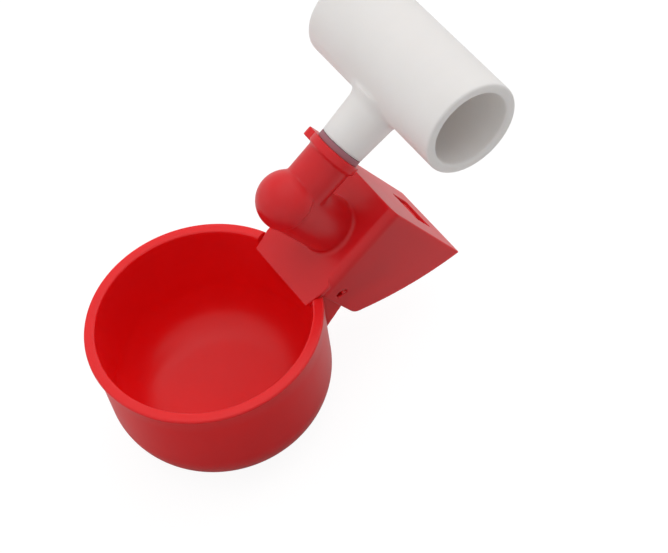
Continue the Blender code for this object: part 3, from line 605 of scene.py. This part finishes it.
def hood_outline():
    """The hood from the side, along the roof and above it, with bowed lower edges of the cheeks."""
    back_low = (HOOD_LENGTH, -HOOD_DEPTH)
    corner = rounded([(CHEEK_START, OUTLINE_EXCESS, 0),
                      (CHEEK_START, -CHEEK_FRONT_DEPTH, CHEEK_CORNER_RADIUS), (*back_low, 0)], steps=10)
    start = corner[-2]
    run = (back_low[0] - start[0], back_low[1] - start[1])
    length = math.hypot(*run)
    bow = []
    for step in range(1, BOW_STEPS):
        share = step / BOW_STEPS
        lift = CHEEK_BOW * 4 * share * (1 - share)
        bow.append((start[0] + run[0] * share + run[1] / length * lift,
                    start[1] + run[1] * share - run[0] / length * lift))
    return corner[:-1] + bow + [back_low, (HOOD_LENGTH, OUTLINE_EXCESS)]


def section(half_width, top, radius):
    """The hood seen along the roof, with rounded upper corners, reaching far below it."""
    low = -2 * HOOD_DEPTH
    return rounded([(-half_width, low, 0), (half_width, low, 0), (half_width, top, radius),
                    (-half_width, top, radius)], steps=12)


def make_tongue():
    tip = TONGUE_TIP_WIDTH / 2
    full = HOOD_WIDTH / 2 - TONGUE_SIDE_GAP
    flat = HOOD_WIDTH / 2 - HOOD_EDGE_RADIUS
    root = TONGUE_SQUARE_END + HOOD_EDGE_RADIUS
    corner = TONGUE_CORNER_RADIUS
    outline = rounded([(-tip, 0, corner), (tip, 0, corner), (full, TONGUE_FLARE_END, 0),
                       (full, TONGUE_SQUARE_END, 0), (flat, root, 0), (-flat, root, 0),
                       (-full, TONGUE_SQUARE_END, 0), (-full, TONGUE_FLARE_END, 0)], steps=4)
    return prism("tongue", outline, HOOD_WALL, HOOD_FRAME @ at(0, 0, -HOOD_WALL / 2))


def make_boss(reach):
    """The boss that holds the spring's head, trimmed half way into the roof and the back plate."""
    profile = [(0, BOSS_LENGTH), (BOSS_RADIUS, BOSS_LENGTH), (BOSS_RADIUS, 0), (SPRING_SPIGOT_RADIUS, 0),
               (SPRING_SPIGOT_RADIUS, SPRING_SPIGOT_EDGE - SPRING_SPIGOT_LENGTH),
               (SPRING_SPIGOT_RADIUS - SPRING_SPIGOT_EDGE, -SPRING_SPIGOT_LENGTH), (0, -SPRING_SPIGOT_LENGTH)]
    boss = revolve("boss", profile, at(0, spring_place(), SPRING_TOP_Z), steps=64)
    room_frame = HOOD_FRAME @ at(0, HOOD_LENGTH - HOOD_WALL / 2 - reach / 2, 0) @ UPRIGHT
    room = prism("room", section(HOOD_WIDTH / 4, -HOOD_WALL / 2, 0), reach, room_frame)
    carve(boss, ("INTERSECT", room))
    return boss


def make_slots():
    """The slots of both cheeks; the pegs hang in their rear ends."""
    outline = arc((0, 0), SLOT_RADIUS, -90, 90, steps=12)
    outline += arc((2 * SLOT_RADIUS - SLOT_LENGTH, 0), SLOT_RADIUS, 90, 270, steps=12)
    return prism("slots", outline, 2 * HOOD_WIDTH, at(0, HINGE_Y, HINGE_Z) @ SIDEWAYS)


def make_window():
    """The opening in the back plate, with room for the tail's travel."""
    rise = (tail_end() - HINGE_Y) * math.sin(BOWL_TRAVEL)
    low = (TAIL_TOP - TRAY_WALL - WINDOW_ROOM_BELOW - TIP_Z - HOOD_LENGTH * SIN) / COS
    high = (TAIL_TOP + rise + WINDOW_ROOM_ABOVE - TIP_Z - (HOOD_LENGTH - HOOD_WALL) * SIN) / COS
    outline = rounded([(-WINDOW_HALF_WIDTH, low, WINDOW_CORNER_RADIUS),
                       (WINDOW_HALF_WIDTH, low, WINDOW_CORNER_RADIUS),
                       (WINDOW_HALF_WIDTH, high, WINDOW_CORNER_RADIUS),
                       (-WINDOW_HALF_WIDTH, high, WINDOW_CORNER_RADIUS)])
    window_frame = HOOD_FRAME @ at(0, HOOD_LENGTH - HOOD_WALL / 2, 0) @ UPRIGHT
    return prism("window", outline, 4 * HOOD_WALL, window_frame)


def make_hood():
    hood = prism("hood_shell", hood_outline(), 2 * HOOD_WIDTH, HOOD_FRAME @ SIDEWAYS)
    reach = 4 * HOOD_LENGTH
    outside = prism("outside", section(HOOD_WIDTH / 2, 0, HOOD_EDGE_RADIUS), reach, HOOD_FRAME @ UPRIGHT)
    inside_frame = HOOD_FRAME @ at(0, HOOD_LENGTH - HOOD_WALL - reach / 2, 0) @ UPRIGHT
    inside = prism("inside", section(HOOD_WIDTH / 2 - HOOD_WALL, -HOOD_WALL, HOOD_EDGE_RADIUS - HOOD_WALL),
                   reach, inside_frame)
    tongue = make_tongue()
    barrel_frame = HOOD_FRAME @ at(0, BARREL_PLACE, 0)
    skirt = -HOOD_WALL - BARREL_SKIRT
    barrel_profile = [(0, DOME_CENTRE_HEIGHT + BARREL_RADIUS)]
    barrel_profile += arc((0, DOME_CENTRE_HEIGHT), BARREL_RADIUS, 86, 0, steps=24)
    barrel_profile += [(BARREL_RADIUS - DOME_STEP, DOME_CENTRE_HEIGHT - DOME_STEP / 2),
                       (BARREL_RADIUS - DOME_STEP, skirt), (0, skirt)]
    barrel = revolve("barrel", barrel_profile, barrel_frame, steps=192)
    neck_frame = HOOD_FRAME @ at(0, BARREL_PLACE, NECK_HEIGHT) @ ALONG_NECK
    length = NECK_END - BARREL_PLACE
    collar = length - COLLAR_LENGTH
    neck_profile = [(0, length), (COLLAR_RADIUS, length), (COLLAR_RADIUS, collar),
                    (NECK_RADIUS, collar - (COLLAR_RADIUS - NECK_RADIUS)),
                    (NECK_RADIUS - NECK_DRAFT, 0), (0, 0)]
    neck = revolve("neck", neck_profile, neck_frame, steps=192)
    half = EAR_WIDTH / 2
    ear_outline = rounded([(-EAR_REACH, -half, EAR_CORNER_RADIUS), (0, -half, 0), (0, half, 0),
                           (-EAR_REACH, half, EAR_CORNER_RADIUS)])
    ear_frame = HOOD_FRAME @ at(0, NECK_END - EAR_DROP - EAR_THICKNESS / 2, NECK_HEIGHT) @ UPRIGHT
    ear = prism("ear", ear_outline, EAR_THICKNESS, ear_frame)
    boss = make_boss(reach)
    slots = make_slots()
    window = make_window()
    bore_radius = BARREL_RADIUS - BARREL_WALL
    bore_profile = [(0, DOME_CENTRE_HEIGHT + bore_radius)]
    bore_profile += arc((0, DOME_CENTRE_HEIGHT), bore_radius, 84, 0, steps=16)
    bore_profile += [(bore_radius, -BARREL_BORE_REACH), (0, -BARREL_BORE_REACH)]
    bore = revolve("bore", bore_profile, barrel_frame, steps=128)
    bore_start = bore_radius / 5
    neck_bore_profile = [(0, 2 * length), (NECK_BORE_RADIUS, 2 * length), (NECK_BORE_RADIUS, bore_start),
                         (0, bore_start)]
    neck_bore = revolve("neck_bore", neck_bore_profile, neck_frame, steps=128)
    carve(bore, ("UNION", neck_bore))
    carve(hood, ("INTERSECT", outside), ("DIFFERENCE", inside), ("UNION", tongue), ("UNION", barrel),
          ("UNION", neck), ("UNION", ear), ("UNION", boss), ("DIFFERENCE", slots), ("DIFFERENCE", window),
          ("DIFFERENCE", bore))
    mould(hood, voxel=0.00030, times=2, keep=0.40, joints=((roof_joint, 50), (neck_joint, 3)))
    smooth(hood)
    return hood


def make_tee():
    end = TEE_HALF_LENGTH
    step = end - SOCKET_DEPTH
    upper = [(TEE_BORE_RADIUS, step), (SOCKET_RADIUS, step + SOCKET_SEAT),
             (SOCKET_RADIUS, end - SOCKET_LEAD_IN), (SOCKET_RADIUS + SOCKET_LEAD_IN, end)]
    upper += arc((TEE_RADIUS - TEE_EDGE_RADIUS, end - TEE_EDGE_RADIUS), TEE_EDGE_RADIUS, 90, 0, steps=5)
    lower = [(radius, -height) for radius, height in reversed(upper)]
    run_frame = HOOD_FRAME @ at(0, TEE_PLACE, NECK_HEIGHT) @ ALONG_X
    tee = revolve("tee_shell", upper + lower, run_frame, steps=224, closed=True)
    length = TEE_PLACE - STUB_START
    hidden = length - (TEE_BORE_RADIUS + TEE_RADIUS) / 2
    flare_start = length - TEE_RADIUS - STUB_FLARE_START
    profile = [(0, hidden), (STUB_ROOT_RADIUS + STUB_FLARE, hidden)]
    for index in range(1, STUB_FLARE_STEPS + 1):
        share = 1 - index / STUB_FLARE_STEPS
        profile.append((STUB_ROOT_RADIUS + STUB_FLARE * share ** 2, flare_start + STUB_FLARE_LENGTH * share))
    profile += [(STUB_RADIUS, 0), (SPIGOT_RADIUS, 0), (SPIGOT_RADIUS, SPIGOT_CHAMFER - SPIGOT_LENGTH),
                (SPIGOT_RADIUS - SPIGOT_CHAMFER, -SPIGOT_LENGTH), (0, -SPIGOT_LENGTH)]
    stub_frame = HOOD_FRAME @ at(0, STUB_START, NECK_HEIGHT) @ ALONG_NECK
    stub = revolve("stub", profile, stub_frame, steps=192)
    bore_profile = [(0, length), (STUB_BORE_RADIUS, length), (STUB_BORE_RADIUS, -STUB_BORE_REACH),
                    (0, -STUB_BORE_REACH)]
    bore = revolve("stub_bore", bore_profile, stub_frame, steps=96)
    carve(tee, ("UNION", stub), ("DIFFERENCE", bore))
    mould(tee, voxel=0.00034, times=3, keep=0.45, joints=((tee_joint, 60),))
    smooth(tee)
    return tee


# Camera as fitted to the photo, its place counted up from the rim
CAMERA_PLACE = Vector((0.3815, -0.1256, 0.5344 + BOWL_HEIGHT))
CAMERA_AZIMUTH = math.radians(65.35)
CAMERA_DROP = math.radians(52.82)
CAMERA_ROLL = math.radians(-11.77)
CAMERA_CLIP_START = 0.01
CAMERA_CLIP_END = 20.0
FOCAL_PIXELS = 2031.0
IMAGE_WIDTH = 668.0
SENSOR_WIDTH = 36.0

# Soft glows of the sky: azimuth and elevation in degrees, and strength
SKY_GLOWS = ((0, 90, 1.85), (112, 38, 1.9), (225, 8, 1.65), (315, 8, 0.8))
SKY_SHARPNESS = 6.0

FLOOR_HALF_SIZE = 6.0
FLOOR_Z = -0.0006
# The camera sees the floor's glow and the light on a dark grey, which keeps the object's shadow
FLOOR_GLOW = 0.92
FLOOR_SHADOW_GREY = 0.14
# For the light that it throws back, the floor has a painted shadow: it is darker where the bowl keeps the
# light off it
FLOOR_SHADE_PLACE = (0.06, -0.03, 0)
FLOOR_SHADE_SIZE = 0.13
FLOOR_SHADE_DARK = 0.25
FLOOR_SHADE_LIGHT = 0.85
# Shiny surfaces see this share of that grey as the floor's glow, so their reflections carry the painted
# shadow too
FLOOR_MIRROR_SHARE = 0.7

# Slow changes of colour and roughness in the plastic, and its fine grain
CLOUD_SCALE = 45.0
CLOUD_DETAIL = 4.0
CLOUD_DARK_END = 0.3
CLOUD_LIGHT_START = 0.7
ROUGHNESS_BELOW = 0.05
ROUGHNESS_ABOVE = 0.07
GRAIN_SCALE = 900.0
GRAIN_DETAIL = 3.0
GRAIN_STRENGTH = 0.02
GRAIN_DEPTH = 0.0003
# How far light spreads inside the plastic
LIGHT_SPREAD = 0.005

# At a roughness of 0.27 the denoiser leaves contour lines on the red
RED_ROUGHNESS = 0.31
RED_SPECULAR = 0.36
RED_TRANSLUCENCE = 0.6
RED_REACH = (1.0, 0.08, 0.06)
WHITE_TRANSLUCENCE = 0.3
WHITE_REACH = (1.0, 0.9, 0.8)


def make_camera():
    forward = Vector((-math.sin(CAMERA_AZIMUTH) * math.cos(CAMERA_DROP),
                      math.cos(CAMERA_AZIMUTH) * math.cos(CAMERA_DROP),
                      -math.sin(CAMERA_DROP)))
    level = forward.cross(Vector((0, 0, 1))).normalized()
    above = level.cross(forward)
    right = level * math.cos(CAMERA_ROLL) + above * math.sin(CAMERA_ROLL)
    up = above * math.cos(CAMERA_ROLL) - level * math.sin(CAMERA_ROLL)
    data = bpy.data.cameras.new("camera")
    data.sensor_fit = "HORIZONTAL"
    data.sensor_width = SENSOR_WIDTH
    data.lens = FOCAL_PIXELS / IMAGE_WIDTH * SENSOR_WIDTH
    data.clip_start = CAMERA_CLIP_START
    data.clip_end = CAMERA_CLIP_END
    camera = bpy.data.objects.new("camera", data)
    bpy.context.scene.collection.objects.link(camera)
    turn = Matrix((right, up, -forward)).transposed().to_4x4()
    camera.matrix_world = Matrix.Translation(CAMERA_PLACE) @ turn
    bpy.context.scene.camera = camera


def compass(azimuth, elevation):
    """A direction given in degrees from +X and above the floor."""
    turn = math.radians(azimuth)
    lift = math.radians(elevation)
    return (math.cos(turn) * math.cos(lift), math.sin(turn) * math.cos(lift), math.sin(lift))


def make_sky():
    """Lights matt surfaces by soft glows; the rays that show the background see an even white."""
    world = bpy.data.worlds.new("studio")
    bpy.context.scene.world = world
    world.use_nodes = True
    tree = world.node_tree
    background = tree.nodes["Background"]
    background.inputs["Color"].default_value = (1, 1, 1, 1)
    place = tree.nodes.new("ShaderNodeTexCoord")
    total = None
    for azimuth, elevation, strength in SKY_GLOWS:
        facing = tree.nodes.new("ShaderNodeVectorMath")
        facing.operation = "DOT_PRODUCT"
        facing.inputs[1].default_value = compass(azimuth, elevation)
        lit = add_maths(tree, "MAXIMUM", facing.outputs["Value"], 0.0)
        falloff = add_maths(tree, "POWER", lit, SKY_SHARPNESS)
        glow = add_maths(tree, "MULTIPLY", falloff, strength)
        tree.links.new(place.outputs["Generated"], facing.inputs[0])
        total = glow if total is None else add_maths(tree, "ADD", total, glow)
    mix = tree.nodes.new("ShaderNodeMix")
    mix.inputs["B"].default_value = 1.0
    tree.links.new(background_rays(tree), mix.inputs["Factor"])
    tree.links.new(total, mix.inputs["A"])
    tree.links.new(mix.outputs["Result"], background.inputs["Strength"])


def background_rays(tree):
    """One for a ray that shows the background: from the camera, off a shiny surface or through glass."""
    paths = tree.nodes.new("ShaderNodeLightPath")
    shiny = add_maths(tree, "MAXIMUM", paths.outputs["Is Camera Ray"], paths.outputs["Is Glossy Ray"])
    return add_maths(tree, "MAXIMUM", shiny, paths.outputs["Is Transmission Ray"])


def add_maths(tree, operation, first, second):
    """A maths node on a socket and either a plain number or another socket."""
    node = tree.nodes.new("ShaderNodeMath")
    node.operation = operation
    tree.links.new(first, node.inputs[0])
    if isinstance(second, float):
        node.inputs[1].default_value = second
    else:
        tree.links.new(second, node.inputs[1])
    return node.outputs[0]


def make_floor():
    """A floor that shows white with the object's shadow, and lights the object by a grey with a painted
    shadow round the bowl.
    """
    size = FLOOR_HALF_SIZE
    mesh = bpy.data.meshes.new("floor")
    mesh.from_pydata([(-size, -size, FLOOR_Z), (size, -size, FLOOR_Z), (size, size, FLOOR_Z),
                      (-size, size, FLOOR_Z)], [], [(0, 1, 2, 3)])
    floor = new_piece("floor", mesh)
    material = bpy.data.materials.new("floor")
    material.use_nodes = True
    tree = material.node_tree
    tree.nodes.clear()
    out = tree.nodes.new("ShaderNodeOutputMaterial")
    mix = tree.nodes.new("ShaderNodeMixShader")
    seen = tree.nodes.new("ShaderNodeAddShader")
    glow = tree.nodes.new("ShaderNodeEmission")
    shadow = tree.nodes.new("ShaderNodeBsdfDiffuse")
    matt = tree.nodes.new("ShaderNodeBsdfDiffuse")
    glow.inputs["Color"].default_value = (1, 1, 1, 1)
    shadow.inputs["Color"].default_value = (FLOOR_SHADOW_GREY, FLOOR_SHADOW_GREY, FLOOR_SHADOW_GREY, 1)
    place = tree.nodes.new("ShaderNodeTexCoord")
    away = tree.nodes.new("ShaderNodeVectorMath")
    away.operation = "DISTANCE"
    away.inputs[1].default_value = FLOOR_SHADE_PLACE
    shade = tree.nodes.new("ShaderNodeMapRange")
    shade.interpolation_type = "SMOOTHSTEP"
    shade.inputs["From Min"].default_value = FLOOR_SHADE_SIZE / 3
    shade.inputs["From Max"].default_value = FLOOR_SHADE_SIZE
    shade.inputs["To Min"].default_value = FLOOR_SHADE_DARK
    shade.inputs["To Max"].default_value = FLOOR_SHADE_LIGHT
    tree.links.new(place.outputs["Object"], away.inputs[0])
    tree.links.new(away.outputs["Value"], shade.inputs["Value"])
    tree.links.new(shade.outputs["Result"], matt.inputs["Color"])
    paths = tree.nodes.new("ShaderNodeLightPath")
    white = tree.nodes.new("ShaderNodeMix")
    white.inputs["A"].default_value = FLOOR_GLOW
    mirrored = add_maths(tree, "MULTIPLY", shade.outputs["Result"], FLOOR_MIRROR_SHARE)
    tree.links.new(paths.outputs["Is Glossy Ray"], white.inputs["Factor"])
    tree.links.new(mirrored, white.inputs["B"])
    tree.links.new(white.outputs["Result"], glow.inputs["Strength"])
    tree.links.new(background_rays(tree), mix.inputs[0])
    tree.links.new(glow.outputs[0], seen.inputs[0])
    tree.links.new(shadow.outputs[0], seen.inputs[1])
    tree.links.new(matt.outputs[0], mix.inputs[1])
    tree.links.new(seen.outputs[0], mix.inputs[2])
    tree.links.new(mix.outputs[0], out.inputs["Surface"])
    mesh.materials.append(material)


def plastic(name, colour, dark, roughness):
    """A moulded surface: slow clouds between two colours and two roughnesses, and a fine grain."""
    material = bpy.data.materials.new(name)
    material.use_nodes = True
    tree = material.node_tree
    shader = tree.nodes["Principled BSDF"]
    place = tree.nodes.new("ShaderNodeTexCoord")
    cloud = tree.nodes.new("ShaderNodeTexNoise")
    cloud.inputs["Scale"].default_value = CLOUD_SCALE
    cloud.inputs["Detail"].default_value = CLOUD_DETAIL
    ramp = tree.nodes.new("ShaderNodeValToRGB")
    ramp.color_ramp.elements[0].position = CLOUD_DARK_END
    ramp.color_ramp.elements[1].position = CLOUD_LIGHT_START
    ramp.color_ramp.elements[0].color = (*dark, 1)
    ramp.color_ramp.elements[1].color = (*colour, 1)
    tree.links.new(place.outputs["Object"], cloud.inputs["Vector"])
    tree.links.new(cloud.outputs["Fac"], ramp.inputs["Fac"])
    tree.links.new(ramp.outputs["Color"], shader.inputs["Base Color"])
    grain = tree.nodes.new("ShaderNodeTexNoise")
    grain.inputs["Scale"].default_value = GRAIN_SCALE
    grain.inputs["Detail"].default_value = GRAIN_DETAIL
    tree.links.new(place.outputs["Object"], grain.inputs["Vector"])
    spread = tree.nodes.new("ShaderNodeMapRange")
    spread.inputs["To Min"].default_value = roughness - ROUGHNESS_BELOW
    spread.inputs["To Max"].default_value = roughness + ROUGHNESS_ABOVE
    tree.links.new(cloud.outputs["Fac"], spread.inputs["Value"])
    tree.links.new(spread.outputs["Result"], shader.inputs["Roughness"])
    rise = tree.nodes.new("ShaderNodeBump")
    rise.inputs["Strength"].default_value = GRAIN_STRENGTH
    rise.inputs["Distance"].default_value = GRAIN_DEPTH
    tree.links.new(grain.outputs["Fac"], rise.inputs["Height"])
    tree.links.new(rise.outputs["Normal"], shader.inputs["Normal"])
    return material


def set_shader(material, socket, value):
    material.node_tree.nodes["Principled BSDF"].inputs[socket].default_value = value


def make_translucent(material, share, reach):
    """Lets light spread inside the plastic, further in one colour than in another."""
    set_shader(material, "Subsurface Weight", share)
    set_shader(material, "Subsurface Radius", reach)
    set_shader(material, "Subsurface Scale", LIGHT_SPREAD)


make_camera()
make_floor()
make_sky()
bpy.context.scene.view_settings.view_transform = "Standard"

# The bowl's copy of the red plastic is lighter than the hood's: painted light on the bowl
bowl_red_painted_light = plastic("bowl_red_painted_light", colour=(0.88, 0.011, 0.014), dark=(0.84, 0.009, 0.012),
                   roughness=RED_ROUGHNESS)
# The hood's copy of the same red is darker: painted shade on the hood
hood_red_painted_shade = plastic("hood_red_painted_shade", colour=(0.77, 0.012, 0.017), dark=(0.73, 0.010, 0.015),
                   roughness=RED_ROUGHNESS)
for red in (bowl_red_painted_light, hood_red_painted_shade):
    make_translucent(red, RED_TRANSLUCENCE, RED_REACH)
    set_shader(red, "Specular IOR Level", RED_SPECULAR)
white = plastic("white_pvc", colour=(0.90, 0.87, 0.85), dark=(0.87, 0.84, 0.82), roughness=0.45)
make_translucent(white, WHITE_TRANSLUCENCE, WHITE_REACH)
acetal = plastic("white_acetal", colour=(0.78, 0.77, 0.70), dark=(0.74, 0.73, 0.66), roughness=0.40)
rubber = plastic("seal_rubber", colour=(0.42, 0.17, 0.20), dark=(0.36, 0.14, 0.17), roughness=0.55)
steel = plastic("spring_steel", colour=(0.62, 0.62, 0.61), dark=(0.52, 0.52, 0.53), roughness=0.28)
set_shader(steel, "Metallic", 1.0)

bowl = make_bowl()
tray = make_tray()
hood = make_hood()
tee = make_tee()
dress(bowl, bowl_red_painted_light, "cup", "bowl")
dress(tray, bowl_red_painted_light, "cup", "bowl")
dress(hood, hood_red_painted_shade, "head", "hood")
dress(tee, white, "head", "tee_fitting")
spring, foot, head = make_spring()
paint(spring, steel)
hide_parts("balance_spring")
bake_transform(spring)
for name, material in {"valve_nozzle": acetal, "valve_pad": rubber, "neck_seal": rubber}.items():
    paint(nodes[name], material)
